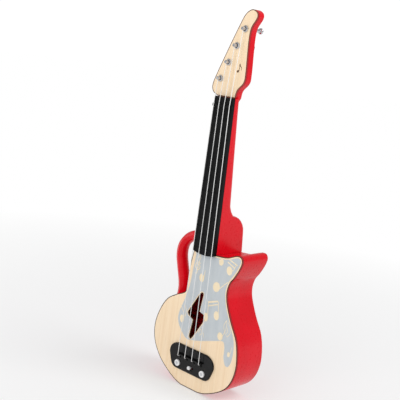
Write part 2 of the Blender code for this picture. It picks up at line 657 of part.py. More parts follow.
def make_carry_handle():
    line = [Vector((p.x, HANDLE_Y, p.y + NUT_Z)) for p in soft_path(HANDLE_PATH)]
    mesh = tube_mesh("carry_handle", line, HANDLE_RADIUS, resolution=3)
    stretch = Matrix.Translation((0, HANDLE_Y, 0)) @ Matrix.Scale(HANDLE_STRETCH, 4, (0, 1, 0))
    mesh.transform(stretch @ Matrix.Translation((0, -HANDLE_Y, 0)))
    part = add_part("carry_handle", mesh, RED)
    body = moved_outline(smooth_outline(BODY_OUTLINE), GAP)
    combine(part, "DIFFERENCE", "body_side", prism("body_side", body, FACE_Y, BACK_Y))
    seat = -board_half_width(HANDLE_TOP_Z) - 2 * GAP
    combine(part, "DIFFERENCE", "heel_side",
            block("heel_side", (30 * MM, 60 * MM, 40 * MM),
                  (seat + 15 * MM, 0, HANDLE_TOP_Z + NUT_Z)))
    for which in ("upper", "lower"):
        start, end = handle_screw_line(which, 8 * MM, 12 * MM)
        combine(part, "DIFFERENCE", which + "_hole", cylinder("hole", 1.3 * MM, start, end, 10))
        seat_point, _ = handle_screw_line(which, WALL + GAP, 0)
        axis = (end - start).normalized()
        add_screw("handle_screw_" + which, seat_point, axis, 12 * MM)


def make_neck_screws():
    for side, x in NECK_SCREWS:
        seat = (x, NECK_SCREW_Y, BODY_TOP_Z + NUT_Z - WALL - GAP)
        add_screw("neck_screw_" + side, seat, (0, 0, 1), 10 * MM)


# ---------------------------------------------------------------- bridge and controls

def make_control_panel():
    solid = bmesh.new()
    base = prism("control_panel", smooth_outline(PANEL_OUTLINE), PANEL_FRONT, PANEL_BACK)
    solid.from_mesh(base)
    upright = [e for e in solid.edges if abs(e.verts[0].co.y - e.verts[1].co.y) > 1 * MM]
    bmesh.ops.bevel(solid, geom=upright, offset=8 * MM, segments=6, affect="EDGES", profile=0.5)
    rim = [e for e in solid.edges if max(v.co.y for v in e.verts) < PANEL_FRONT + 0.1 * MM]
    bmesh.ops.bevel(solid, geom=rim, offset=1.8 * MM, segments=3, affect="EDGES", profile=0.5)
    part = add_part("control_panel", finish_mesh("control_panel", solid), BLACK)
    z = BUTTON_Z + NUT_Z
    for side, x in BUTTONS:
        combine(part, "DIFFERENCE", "button_hole_" + side,
                cylinder("button_hole", 5.3 * MM, (x, PANEL_FRONT - 2 * MM, z),
                         (x, PANEL_BACK + 2 * MM, z), 20))
    middle = (SLIDER_X + SLIDER_TRAVEL / 2, BUTTON_Z)
    combine(part, "DIFFERENCE", "slider_sink",
            slot("slider_sink", 13.5 * MM, 7.6 * MM, middle, PANEL_FRONT - 2 * MM,
                 PANEL_FRONT + 1.2 * MM))
    combine(part, "DIFFERENCE", "slider_slot",
            slot("slider_slot", 8.8 * MM, 3.8 * MM, middle, PANEL_FRONT, PANEL_BACK + 2 * MM))
    for side, x in (("left", -BOARD_SCREW_X), ("right", BOARD_SCREW_X)):
        post_z = BOARD_SCREW_Z + NUT_Z
        combine(part, "UNION", "post_" + side,
                cylinder("post", 2.8 * MM, (x, PANEL_BACK - 1.5 * MM, post_z),
                         (x, CIRCUIT_FRONT - GAP, post_z), 12))
        combine(part, "DIFFERENCE", "post_hole_" + side,
                cylinder("post_hole", 1.3 * MM, (x, PANEL_BACK + 1 * MM, post_z),
                         (x, CIRCUIT_FRONT + 1 * MM, post_z), 10))


def make_saddle_and_pins():
    size = (SADDLE_SPREAD + 7 * MM, SADDLE_BACK - STRING_FRONT, 2.4 * MM)
    middle = (0, (SADDLE_BACK + STRING_FRONT) / 2, NUT_Z - SCALE_LENGTH)
    add_part("saddle", block("saddle", size, middle, 0.8 * MM), BLACK)
    for i in range(STRING_COUNT):
        x = SADDLE_SPREAD * (i / (STRING_COUNT - 1) - 0.5)
        top = -SADDLE_BACK
        profile = [(0, top + 1.9 * MM), (1.1 * MM, top + 1.7 * MM), (1.7 * MM, top + 1.1 * MM),
                   (1.7 * MM, top), (0, top)]
        add_turned(f"string_pin_{i + 1}", profile, (x, 0, PIN_Z + NUT_Z), BLACK, sides=12)


def make_strings():
    """Each string comes out behind the saddle and runs over it and the nut to its post."""
    for i in range(STRING_COUNT):
        share = i / (STRING_COUNT - 1) - 0.5
        low, high = SADDLE_SPREAD * share, NUT_SPREAD * share
        peg_x, peg_z = peg_place(i)
        points = [(low, PANEL_FRONT - 0.4 * MM, STRING_TAIL_Z),
                  (low, STRING_Y + 0.9 * MM, STRING_TAIL_Z),
                  (low, STRING_Y, -SCALE_LENGTH - 1.2 * MM),
                  (high, STRING_Y, 0),
                  (high, STRING_Y + 0.15 * MM, 2 * MM),
                  (peg_x, HEAD_FRONT - 5.4 * MM, peg_z - 2.5 * MM - STRING_RADIUS)]
        line = [Vector((x, y, z + NUT_Z)) for x, y, z in points]
        add_part(f"string_{i + 1}", tube_mesh("string", line, STRING_RADIUS), NYLON)


def make_controls():
    z = BUTTON_Z + NUT_Z
    rise = -PANEL_FRONT
    stem_end = -(CIRCUIT_FRONT - 5.3 * MM)
    flange = -(PANEL_BACK + GAP)
    for side, x in BUTTONS:
        profile = [(0, rise + 1.9 * MM), (2.6 * MM, rise + 2.1 * MM), (4.2 * MM, rise + 2.4 * MM),
                   (5 * MM, rise + 1.6 * MM), (5 * MM, flange + 0.2 * MM), (6 * MM, flange),
                   (6 * MM, flange - 1 * MM), (2.2 * MM, flange - 1 * MM),
                   (2.2 * MM, stem_end), (0, stem_end)]
        add_turned("button_" + side, profile, (x, 0, z), WHITE, sides=24)
        add_part("switch_" + side,
                 block("switch", (6 * MM, 3.5 * MM, 6 * MM),
                       (x, CIRCUIT_FRONT - GAP - 1.75 * MM, z)), GREY)
    knob = [(0, rise + 3.6 * MM), (1.8 * MM, rise + 3.2 * MM), (2.9 * MM, rise + 2 * MM),
            (3.1 * MM, rise + 0.6 * MM), (2.6 * MM, rise - 0.9 * MM), (1.6 * MM, rise - 0.9 * MM),
            (1.6 * MM, stem_end), (0, stem_end)]
    add_turned("power_slider", knob, (SLIDER_X, 0, z), WHITE, sides=20)
    add_part("slide_switch",
             block("slide_switch", (15 * MM, 4.4 * MM, 6.5 * MM),
                   (SLIDER_X + SLIDER_TRAVEL / 2, CIRCUIT_FRONT - GAP - 2.2 * MM, z)), GREY)
    middle = (0, CIRCUIT_FRONT + CIRCUIT / 2, CIRCUIT_Z + NUT_Z)
    part = add_part("circuit_board", block("circuit_board", (72 * MM, CIRCUIT, 26 * MM), middle),
                    GREEN)
    for side, x in (("left", -BOARD_SCREW_X), ("right", BOARD_SCREW_X)):
        seat = Vector((x, CIRCUIT_FRONT + CIRCUIT + GAP, BOARD_SCREW_Z + NUT_Z))
        combine(part, "DIFFERENCE", "hole_" + side,
                cylinder("hole", 1.4 * MM, seat, seat - Vector((0, 6 * MM, 0)), 10))
        add_screw("board_screw_" + side, seat, (0, -1, 0), 7 * MM)


# ---------------------------------------------------------------- sound unit and batteries

def make_speaker():
    centre = (SPEAKER_X, 0, SPEAKER_Z + NUT_Z)
    rim = BACK_Y - WALL - GAP
    frame = [(25, 0), (25, 2), (21.5, 3.5), (14, 10.5), (12, 10.5), (12, 9.3), (13.4, 9.3),
             (20.4, 2.4), (20.4, 0)]
    add_turned("speaker_frame", [(r * MM, h * MM - rim) for r, h in frame][::-1], centre, GREY,
               sides=28, closed=True)
    cone = [(0, 5.2), (4.5, 4.6), (7, 6.8), (18.6, 1.2), (20, 1.2), (20, 0.6), (18.2, 0.4),
            (7, 5.6), (4.5, 3.6), (0, 4.2)]
    add_turned("speaker_cone", [(r * MM, h * MM - rim) for r, h in cone], centre, BLACK,
               sides=28)
    magnet = [(0, 19.5), (12, 19.5), (12.6, 18.9), (12.6, 11.4), (12, 10.8), (0, 10.8)]
    add_turned("speaker_magnet", [(r * MM, h * MM - rim) for r, h in magnet], centre, STEEL,
               sides=24)


def make_batteries():
    half = CELL_LENGTH / 2
    cell = [(0, half), (2.7 * MM, half), (2.7 * MM, half - 1.4 * MM),
            (CELL_RADIUS - 0.5 * MM, half - 1.4 * MM), (CELL_RADIUS, half - 2 * MM),
            (CELL_RADIUS, -half + 0.5 * MM), (CELL_RADIUS - 0.5 * MM, -half), (0, -half)]
    heights = [BAY_Z + NUT_Z + (i - (CELL_COUNT - 1) / 2) * CELL_STEP for i in range(CELL_COUNT)]
    for i, z in enumerate(heights):
        side = 1 if i % 2 == 0 else -1
        add_turned(f"battery_{i + 1}", cell, (BAY_X, CELL_Y, z), YELLOW, axis=(side, 0, 0))
    for side, name in ((-1, "contact_left"), (1, "contact_right")):
        x = BAY_X + side * (BAY_SIZE[0] / 2 - GAP - 0.3 * MM)
        part = add_part(name, block(name, (0.6 * MM, 11 * MM, 43 * MM),
                                    (x, CELL_Y, BAY_Z + NUT_Z)), STEEL)
        for i, z in enumerate(heights):
            start = Vector((x, CELL_Y, z))
            combine(part, "UNION", f"spring_{i + 1}",
                    cylinder("spring", 2 * MM, start, start - Vector((side * 3 * MM, 0, 0)), 12))


def make_battery_door():
    """A flush door with finger grooves and a sunk screw that stays in it."""
    size = [s + 2 * SEAT - 2 * GAP for s in BAY_SIZE]
    size[1] += DOOR_TAB
    middle = Vector((BAY_X, BACK_Y - DOOR / 2, BAY_Z + NUT_Z + DOOR_TAB / 2))
    part = add_part("battery_door", block("battery_door", (size[0], DOOR, size[1]), middle),
                    RED, origin=middle)
    for i in range(3):
        groove_z = middle.z - 10 * MM + i * 5 * MM
        combine(part, "DIFFERENCE", f"groove_{i + 1}",
                block("groove", (16 * MM, 1.6 * MM, 2 * MM), (BAY_X, BACK_Y, groove_z)))
    screw = Vector((BAY_X, BACK_Y, BAY_Z + NUT_Z + BAY_SIZE[1] / 2 + SEAT + DOOR_TAB / 2))
    combine(part, "DIFFERENCE", "screw_sink",
            cylinder("screw_sink", 2.7 * MM, screw - Vector((0, 1.4 * MM, 0)),
                     screw + Vector((0, 2 * MM, 0)), 16))
    combine(part, "DIFFERENCE", "screw_hole",
            cylinder("screw_hole", 1.5 * MM, screw - Vector((0, 4 * MM, 0)),
                     screw + Vector((0, 2 * MM, 0)), 10))
    add_screw("door_screw", screw - Vector((0, 1.1 * MM, 0)), (0, -1, 0), 9 * MM, 1 * MM)


def make_wires():
    """Soft leads from the circuit board to the speaker and to the battery contacts."""
    board_back = CIRCUIT_FRONT + CIRCUIT + 0.9 * MM
    routes = {
        "speaker_wire": [(20, board_back / MM, -385), (24, -8, -381), (30, -2, -374),
                         (35, 4, -368), (39, 9, -365), (40, 11.2, -364)],
        "battery_wire": [(-8, board_back / MM, -385), (-9, -7, -381), (-11, 2, -377),
                         (-13, 9, -374), (-14, 13.2, -373)],
    }
    for name, route in routes.items():
        line = [Vector((x * MM, y * MM, z * MM + NUT_Z)) for x, y, z in route]
        add_part(name, tube_mesh(name, line, 0.8 * MM), BLACK)


clear_scene()
PARTS = make_collection("toy_electric_guitar")
CUTTERS = make_collection("cutters")
RED = make_material("red_plastic", (0.78, 0.012, 0.03), 0.28)
WOOD = make_material("birch_plywood", (0.87, 0.72, 0.48), 0.55)
BLACK = make_material("black_plastic", (0.012, 0.012, 0.014), 0.35)
CHROME = make_material("chrome", (0.75, 0.75, 0.77), 0.12, 1.0)
STEEL = make_material("steel", (0.55, 0.55, 0.57), 0.35, 1.0)
WHITE = make_material("white_plastic", (0.85, 0.85, 0.86), 0.25)
NYLON = make_material("string_nylon", (0.82, 0.82, 0.8), 0.3)
GREY = make_material("grey_plastic", (0.25, 0.25, 0.26), 0.5)
GREEN = make_material("circuit_board_green", (0.03, 0.2, 0.08), 0.45)
YELLOW = make_material("battery_sleeve", (0.75, 0.5, 0.05), 0.35)

make_neck_shell()
make_fretboard()
make_nut()
make_headstock_face()
make_tuners()
make_body_shell()
make_face_plate()
make_front_frame()
make_carry_handle()
make_neck_screws()
make_control_panel()
make_saddle_and_pins()
make_strings()
make_controls()
make_speaker()
make_batteries()
make_battery_door()
make_wires()
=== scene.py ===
"""Looks of the toy electric guitar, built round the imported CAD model.  Metres, +Z up.
Outlines of the print are millimetres in the plane of the face: x to the right, z from the nut."""
import json
import math

import bmesh
import bpy
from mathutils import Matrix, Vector
from mathutils.bvhtree import BVHTree


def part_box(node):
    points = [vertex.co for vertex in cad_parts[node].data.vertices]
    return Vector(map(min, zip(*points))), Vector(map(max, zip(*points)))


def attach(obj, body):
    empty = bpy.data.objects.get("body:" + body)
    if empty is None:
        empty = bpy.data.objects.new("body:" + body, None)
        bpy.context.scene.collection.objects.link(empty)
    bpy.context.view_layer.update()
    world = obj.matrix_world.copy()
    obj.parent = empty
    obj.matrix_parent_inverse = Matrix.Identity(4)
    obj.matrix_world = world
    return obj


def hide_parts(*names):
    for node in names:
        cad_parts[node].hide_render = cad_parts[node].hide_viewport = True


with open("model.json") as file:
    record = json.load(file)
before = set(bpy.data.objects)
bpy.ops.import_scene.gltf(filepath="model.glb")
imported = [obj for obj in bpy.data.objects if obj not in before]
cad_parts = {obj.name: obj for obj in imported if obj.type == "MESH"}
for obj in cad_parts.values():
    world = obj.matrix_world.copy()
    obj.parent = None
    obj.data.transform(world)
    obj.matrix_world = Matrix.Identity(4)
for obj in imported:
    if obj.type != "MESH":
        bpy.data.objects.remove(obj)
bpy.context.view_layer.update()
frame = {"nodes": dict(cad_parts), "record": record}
MM = 0.001
NUT_Z = 0.4295                      # height of the nut, where the outlines' z starts
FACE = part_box("face_plate")[0].y
FILM = 0.08 * MM                    # thickness of one layer of print
LAYER_STEP = 0.002 * MM             # keeps crossing shapes of the print out of one plane
BURNT_RING = 1.1 * MM               # width of the scorched ring on the front of a wooden plate
ROUNDING = 0.5                      # edge rounding of a wooden plate, in millimetres
# Boxes round the openings of the face plate: x from, x to, z from, z to.
SOUND_HOLE = (-22, 17, -354, -275)
PANEL_WINDOW = (-37, 37, -405, -371)


# ---------------------------------------------------------------- material tools

class Shader:
    """A material with short calls for its nodes."""

    def __init__(self, name, roughness, **sockets):
        self.material = bpy.data.materials.new(name)
        self.material.use_nodes = True
        self.nodes = self.material.node_tree.nodes
        self.links = self.material.node_tree.links
        self.surface = self.nodes["Principled BSDF"]
        self.surface.inputs["Roughness"].default_value = roughness
        for socket, value in sockets.items():
            self.surface.inputs[socket.replace("_", " ")].default_value = value
        self.place = self.nodes.new("ShaderNodeTexCoord").outputs["Object"]

    def mapped(self, scale, move=(0, 0, 0)):
        node = self.nodes.new("ShaderNodeMapping")
        node.inputs["Scale"].default_value = scale
        node.inputs["Location"].default_value = move
        self.links.new(self.place, node.inputs["Vector"])
        return node.outputs["Vector"]

    def noise(self, scale, detail=3.0, roughness=0.55, distortion=0.0, move=(0, 0, 0)):
        node = self.nodes.new("ShaderNodeTexNoise")
        node.inputs["Scale"].default_value = 1
        node.inputs["Detail"].default_value = detail
        node.inputs["Roughness"].default_value = roughness
        node.inputs["Distortion"].default_value = distortion
        size = scale if isinstance(scale, tuple) else (scale,) * 3
        self.links.new(self.mapped(size, move), node.inputs["Vector"])
        return node.outputs["Fac"]

    def bands(self, scale, axis, distortion=0.0):
        node = self.nodes.new("ShaderNodeTexWave")
        node.wave_type = "BANDS"
        node.bands_direction = axis
        node.inputs["Scale"].default_value = 1
        node.inputs["Distortion"].default_value = distortion
        self.links.new(self.mapped((scale,) * 3), node.inputs["Vector"])
        return node.outputs["Fac"]

    def distance(self, centre):
        """Distance from a line along Y through centre, in millimetres."""
        flat = self.nodes.new("ShaderNodeVectorMath")
        flat.operation = "MULTIPLY"
        flat.inputs[1].default_value = (1000, 0, 1000)
        self.links.new(self.place, flat.inputs[0])
        node = self.nodes.new("ShaderNodeVectorMath")
        node.operation = "DISTANCE"
        node.inputs[1].default_value = (centre[0] * 1000, 0, centre[2] * 1000)
        self.links.new(flat.outputs[0], node.inputs[0])
        return node.outputs["Value"]

    def distance_on_floor(self):
        """Distance from the middle of the scene, in metres."""
        node = self.nodes.new("ShaderNodeVectorMath")
        node.operation = "LENGTH"
        self.links.new(self.place, node.inputs[0])
        return node.outputs["Value"]

    def coordinate(self, axis):
        """The place along one axis, in metres."""
        node = self.nodes.new("ShaderNodeSeparateXYZ")
        self.links.new(self.place, node.inputs[0])
        return node.outputs[axis]

    def ramp(self, value, *stops):
        node = self.nodes.new("ShaderNodeValToRGB")
        ramp = node.color_ramp
        while len(ramp.elements) < len(stops):
            ramp.elements.new(0.5)
        for element, (at, colour) in zip(ramp.elements, stops):
            element.position = at
            element.color = (*colour, 1)
        self.links.new(value, node.inputs["Fac"])
        return node.outputs["Color"]

    def remap(self, value, low, high, to_low=0.0, to_high=1.0):
        node = self.nodes.new("ShaderNodeMapRange")
        for socket, number in zip(("From Min", "From Max", "To Min", "To Max"),
                                  (low, high, to_low, to_high)):
            node.inputs[socket].default_value = number
        self.links.new(value, node.inputs["Value"])
        return node.outputs["Result"]

    def mix(self, a, b, factor):
        """Colour a, turning into colour b as the factor rises; b may be fixed."""
        node = self.nodes.new("ShaderNodeMix")
        node.data_type = "RGBA"
        for socket, value in (("Factor_Float", factor), ("A_Color", a), ("B_Color", b)):
            target = next(s for s in node.inputs if s.identifier == socket)
            if isinstance(value, bpy.types.NodeSocket):
                self.links.new(value, target)
            else:
                target.default_value = (*value, 1)
        return next(s for s in node.outputs if s.identifier == "Result_Color")

    def colour(self, value):
        self.links.new(value, self.surface.inputs["Base Color"])

    def rough(self, value, low, high):
        """Roughness that a noise varies from low to high."""
        self.links.new(self.remap(value, 0.25, 0.75, low, high),
                       self.surface.inputs["Roughness"])

    def bump(self, value, depth, strength=0.5, before=None):
        """Bump of a real depth in metres, on top of an earlier one."""
        node = self.nodes.new("ShaderNodeBump")
        node.inputs["Strength"].default_value = strength
        node.inputs["Distance"].default_value = depth
        self.links.new(value, node.inputs["Height"])
        if before:
            self.links.new(before, node.inputs["Normal"])
        self.links.new(node.outputs["Normal"], self.surface.inputs["Normal"])
        return node.outputs["Normal"]


# ---------------------------------------------------------------- materials

def moulded(name, low, high, roughness, coat=0.0, specular=0.5, grain=0.000008):
    """Moulded plastic: slight flow marks in the colour, fine grain, faint handling wear."""
    shader = Shader(name, roughness, Coat_Weight=coat, Coat_Roughness=0.08,
                    Specular_IOR_Level=specular)
    flow = shader.noise((22, 22, 9), 4, 0.5, 0.4)
    shader.colour(shader.ramp(flow, (0.3, low), (0.7, high)))
    shader.rough(shader.noise(260, 5, 0.65), roughness - 0.03, roughness + 0.04)
    wave = shader.bump(shader.noise(55, 2), 0.00002, 0.3)
    shader.bump(shader.noise(2600, 2), grain, 0.3, wave)
    return shader.material


def wood(name, dark, middle, light):
    """Birch ply: long streaks of grain along Z, short pores, a thin satin lacquer."""
    shader = Shader(name, 0.42, Coat_Weight=0.18, Coat_Roughness=0.3, Specular_IOR_Level=0.4)
    broad = shader.noise((95, 95, 3.2), 3, 0.5, 0.25)
    fine = shader.noise((620, 620, 9), 5, 0.65, 0.1)
    pores = shader.noise((2300, 2300, 60), 2, 0.5, 0.0, (3, 1, 2))
    streaks = shader.ramp(broad, (0.28, middle), (0.5, light), (0.72, middle))
    lines = shader.mix(streaks, dark, shader.remap(fine, 0.52, 0.78, 0.0, 0.5))
    shader.colour(shader.mix(lines, tuple(0.78 * c for c in dark),
                             shader.remap(pores, 0.6, 0.78, 0.0, 0.35)))
    shader.rough(fine, 0.36, 0.52)
    ridges = shader.bump(fine, 0.00005, 0.3)
    shader.bump(pores, 0.00004, 0.4, ridges)
    return shader.material


def burnt_edge():
    """Laser-cut edge of the ply: three layers along Y, scorched almost black between them."""
    shader = Shader("burnt_edge", 0.6, Specular_IOR_Level=0.3)
    layers = shader.bands(160, "Y", 0.6)
    soot = shader.noise((900, 300, 900), 4, 0.7)
    base = shader.ramp(layers, (0.2, (0.035, 0.014, 0.006)), (0.8, (0.16, 0.075, 0.032)))
    shader.colour(shader.mix(base, (0.015, 0.007, 0.004), shader.remap(soot, 0.45, 0.7, 0, 0.7)))
    shader.bump(layers, 0.0001, 0.4)
    return shader.material


def stained_edge_painted_shade():
    """Outer side of the ply, stained red like the shells and painted darker than them as shade on
    the side; the layers still show.
    """
    shader = Shader("stained_edge_painted_shade", 0.5, Specular_IOR_Level=0.25)
    layers = shader.bands(160, "Y", 0.6)
    soot = shader.noise((900, 300, 900), 4, 0.7)
    # Painted shade: this red is darker than the shells' red.
    base = shader.ramp(layers, (0.2, (0.28, 0.012, 0.014)), (0.8, (0.5, 0.02, 0.024)))
    shader.colour(shader.mix(base, (0.12, 0.012, 0.01), shader.remap(soot, 0.5, 0.75, 0, 0.6)))
    shader.bump(layers, 0.00008, 0.4)
    return shader.material


def print_film():
    """Pale grey screen print: even, slightly mottled, matt against the lacquered wood."""
    shader = Shader("print_film", 0.48, Coat_Weight=0.12, Coat_Roughness=0.35,
                    Specular_IOR_Level=0.35)
    mottle = shader.noise((120, 120, 26), 4, 0.6)
    grain = shader.noise((620, 620, 9), 4, 0.6)
    base = shader.ramp(mottle, (0.3, (0.50, 0.545, 0.575)), (0.7, (0.57, 0.61, 0.635)))
    shader.colour(shader.mix(base, (0.60, 0.58, 0.53), shader.remap(grain, 0.55, 0.8, 0, 0.35)))
    shader.rough(grain, 0.42, 0.55)
    shader.bump(grain, 0.00004, 0.3)
    return shader.material


def metal(name, colour, roughness, scratch):
    """Plated or bare metal: fine polishing marks and slight cloudiness."""
    shader = Shader(name, roughness, Metallic=1.0)
    cloud = shader.noise(180, 3)
    shader.colour(shader.ramp(cloud, (0.3, tuple(0.88 * c for c in colour)), (0.7, colour)))
    shader.rough(shader.noise((2400, 2400, 300), 3, 0.7), roughness - 0.04, roughness + 0.08)
    shader.bump(shader.noise((3200, 3200, 420), 2), scratch, 0.35)
    return shader.material


def string_material():
    """Pale nylon with the faint rings of its winding."""
    shader = Shader("string_nylon", 0.28, Coat_Weight=0.3, Coat_Roughness=0.15)
    rings = shader.bands(420, "Z", 0.3)
    shader.colour(shader.ramp(rings, (0.1, (0.80, 0.80, 0.79)), (0.9, (0.93, 0.93, 0.92))))
    shader.bump(rings, 0.00006, 0.4)
    return shader.material


def button_material(name, centre, inner, edge):
    """White moulded button whose dished middle is painted greyer as shade in the dish; it turns
    greyer again at its rim, and faint dirt is mottled over it.
    """
    shader = Shader(name, 0.22, Coat_Weight=0.35, Coat_Roughness=0.08)
    span = edge + 1.5
    radius = shader.remap(shader.distance(centre), 0, span)
    # Painted shade: grey in the dished middle, white beyond it, greyer again at the rim.
    dish_painted_shade = shader.ramp(radius,
                       (0.0, (0.50, 0.51, 0.53)),
                       ((inner - 0.5) / span, (0.56, 0.57, 0.59)),
                       ((inner + 0.4) / span, (0.86, 0.86, 0.87)),
                       ((edge - 0.25) / span, (0.88, 0.88, 0.89)),
                       ((edge + 0.1) / span, (0.55, 0.55, 0.56)))
    dirt = shader.remap(shader.noise(500, 4), 0.5, 0.8, 0.0, 0.3)
    shader.colour(shader.mix(dish_painted_shade, (0.78, 0.77, 0.74), dirt))
    shader.rough(shader.noise(700, 4), 0.17, 0.3)
    shader.bump(shader.noise(1500, 2), 0.00002, 0.3)
    return shader.material


def circuit_material():
    """Solder mask with a grid of traces and pads under it."""
    shader = Shader("circuit_board", 0.35, Coat_Weight=0.3, Coat_Roughness=0.2)
    traces = shader.bands(330, "X", 1.4)
    cross = shader.bands(240, "Z", 1.1)
    base = shader.ramp(traces, (0.55, (0.012, 0.12, 0.045)), (0.62, (0.03, 0.22, 0.09)))
    shader.colour(shader.mix(base, (0.04, 0.26, 0.1), shader.remap(cross, 0.75, 0.85, 0, 0.7)))
    shader.bump(traces, 0.00004, 0.4)
    return shader.material


def battery_material(name, side):
    """Printed sleeve: a dark body and a copper-coloured band towards the positive end, which
    points along side times X."""
    low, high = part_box(name)
    middle, half = (low.x + high.x) / 2, (high.x - low.x) / 2
    shader = Shader(name + "_sleeve", 0.25, Coat_Weight=0.4, Coat_Roughness=0.1, Metallic=0.3)
    along = shader.remap(shader.coordinate("X"), middle - side * half, middle + side * half)
    base = shader.ramp(along, (0.0, (0.5, 0.5, 0.52)), (0.02, (0.02, 0.022, 0.026)),
                       (0.66, (0.03, 0.032, 0.036)), (0.67, (0.62, 0.3, 0.09)),
                       (0.955, (0.7, 0.36, 0.12)), (0.965, (0.7, 0.7, 0.71)))
    base.node.color_ramp.interpolation = "CONSTANT"
    wear = shader.remap(shader.noise(350, 4), 0.6, 0.8, 0, 0.15)
    shader.colour(shader.mix(base, (0.3, 0.3, 0.3), wear))
    shader.rough(shader.noise(500, 3), 0.2, 0.32)
    shader.bump(shader.noise(900, 2), 0.00002, 0.3)
    return shader.material


RED = moulded("red_plastic", (0.67, 0.002, 0.010), (0.77, 0.003, 0.015), 0.28, 0.05, 0.18,
              0.000003)
BLACK = moulded("black_plastic", (0.002, 0.002, 0.0023), (0.005, 0.005, 0.0055), 0.32, 0.0, 0.12)
PANEL = moulded("glossy_black_plastic", (0.003, 0.003, 0.0033), (0.007, 0.007, 0.0075), 0.2, 0.12,
                0.18, 0.000003)
GREY = moulded("grey_plastic", (0.17, 0.17, 0.18), (0.24, 0.24, 0.25), 0.45)
CONE = moulded("speaker_paper", (0.012, 0.012, 0.012), (0.03, 0.03, 0.03), 0.75, 0, 0.2, 0.0001)
LEAD = moulded("lead_sleeve", (0.015, 0.015, 0.016), (0.03, 0.03, 0.03), 0.5, 0, 0.4)
WOOD = wood("birch_plywood", (0.76, 0.53, 0.31), (0.90, 0.68, 0.44), (0.96, 0.76, 0.53))
MOTIF = wood("birch_in_the_print", (0.78, 0.60, 0.38), (0.88, 0.72, 0.48), (0.92, 0.78, 0.55))
BURNT = burnt_edge()
STAINED_AND_SHADED = stained_edge_painted_shade()
PRINT = print_film()
CHROME = metal("chrome", (0.62, 0.62, 0.64), 0.12, 0.000008)
STEEL = metal("steel", (0.58, 0.58, 0.6), 0.3, 0.00002)
NYLON = string_material()
CIRCUIT = circuit_material()


# ---------------------------------------------------------------- pieces

def body_of(node):
    return next(b for b, nodes in frame["record"]["behaviour"]["bodies"].items()
                if node in nodes)


def scorch(solid, inside):
    """Give a wooden plate its edges: material 2 is stained red and painted darker as shade, on the
    outer side, and material 1 is burnt, on the rounding, a narrow ring on the front beside it and
    the sides of the openings.
    The front is filled anew inside the ring, so its faces never cross."""
    front = [f for f in solid.faces if f.normal.y < -0.99]
    bmesh.ops.inset_region(solid, faces=front, thickness=BURNT_RING, use_even_offset=True)
    ring = {f for f in solid.faces if f.normal.y < -0.97} - set(front)
    bmesh.ops.delete(solid, geom=front, context="FACES")
    rim = [e for e in solid.edges if len(e.link_faces) == 1]
    filled = bmesh.ops.triangle_fill(solid, edges=rim, use_beauty=True, normal=(0, -1, 0))
    for face in filled["geom"]:
        if isinstance(face, bmesh.types.BMFace):
            face.smooth = True
            if face.normal.y > 0:
                face.normal_flip()
    corners, outer = [], []
    for face in solid.faces:
        if abs(face.normal.y) < 0.97:
            middle = face.calc_center_median()
            x, z = middle.x / MM, (middle.z - NUT_Z) / MM
            hole = any(a < x < b and c < z < d for a, b, c, d in inside)
            face.material_index = 1 if hole or abs(face.normal.y) > 0.2 else 2
            if face.material_index == 2:
                outer.append(range(len(corners), len(corners) + len(face.verts)))
                corners += [v.co.copy() for v in face.verts]
    side = BVHTree.FromPolygons(corners, outer)
    for face in ring:
        if side.find_nearest(face.calc_center_median())[3] < ROUNDING * MM + 0.8 * MM:
            face.material_index = 1


def refined(node, material, bevel, segments=2, smooth=38, inside=None):
    """A copy of a CAD node with welded faces, edges rounded by bevel millimetres, and shading that
    is smooth across edges below smooth degrees.  A wooden plate also gives, as inside, the boxes
    round its openings."""
    solid = bmesh.new()
    solid.from_mesh(frame["nodes"][node].data)
    bmesh.ops.remove_doubles(solid, verts=solid.verts, dist=2e-6)
    bmesh.ops.dissolve_limit(solid, angle_limit=math.radians(0.6), verts=solid.verts,
                             edges=solid.edges)
    if bevel:
        sharp = [e for e in solid.edges if len(e.link_faces) == 2
                 and e.calc_face_angle(0) > math.radians(42)]
        bmesh.ops.bevel(solid, geom=sharp, offset=bevel * MM, segments=segments,
                        affect="EDGES", profile=0.5, clamp_overlap=True)
        bmesh.ops.dissolve_degenerate(solid, dist=2e-6, edges=solid.edges)
    solid.normal_update()
    for face in solid.faces:
        face.smooth = True
        face.material_index = 0
    if inside is not None:
        scorch(solid, inside)
    mesh = bpy.data.meshes.new(node + "_look")
    solid.to_mesh(mesh)
    solid.free()
    for used in [material] if inside is None else [material, BURNT, STAINED_AND_SHADED]:
        mesh.materials.append(used)
    mesh.set_sharp_from_angle(angle=math.radians(smooth))
    piece = bpy.data.objects.new(node + "_look", mesh)
    bpy.context.scene.collection.objects.link(piece)
    if bevel:
        flatten = piece.modifiers.new("flat_faces", "WEIGHTED_NORMAL")
        flatten.weight = 100
        flatten.keep_sharp = True
    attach(piece, body_of(node))
    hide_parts(node)


def make_shells():
    for node, bevel in (("body_shell", 0.35), ("neck_shell", 0.5), ("carry_handle", 0.4),
                        ("battery_door", 0.3)):
        refined(node, RED, bevel)
    refined("face_plate", WOOD, ROUNDING, smooth=30,
            inside=[SOUND_HOLE, PANEL_WINDOW])
    refined("headstock_face", WOOD, ROUNDING, smooth=30, inside=[])


def make_neck_pieces():
    refined("fretboard", BLACK, 0.2, smooth=40)
    refined("nut", BLACK, 0.15, smooth=40)
    refined("saddle", PANEL, 0.15, smooth=40)
    for i in range(1, 5):
        refined(f"string_{i}", NYLON, 0, smooth=60)
        refined(f"string_pin_{i}", PANEL, 0.12, smooth=40)
        refined(f"tuner_bushing_{i}", CHROME, 0.2, smooth=40)
        refined(f"tuner_post_{i}", CHROME, 0.12, smooth=40)
        refined(f"tuner_knob_{i}", CHROME, 0.2, smooth=40)


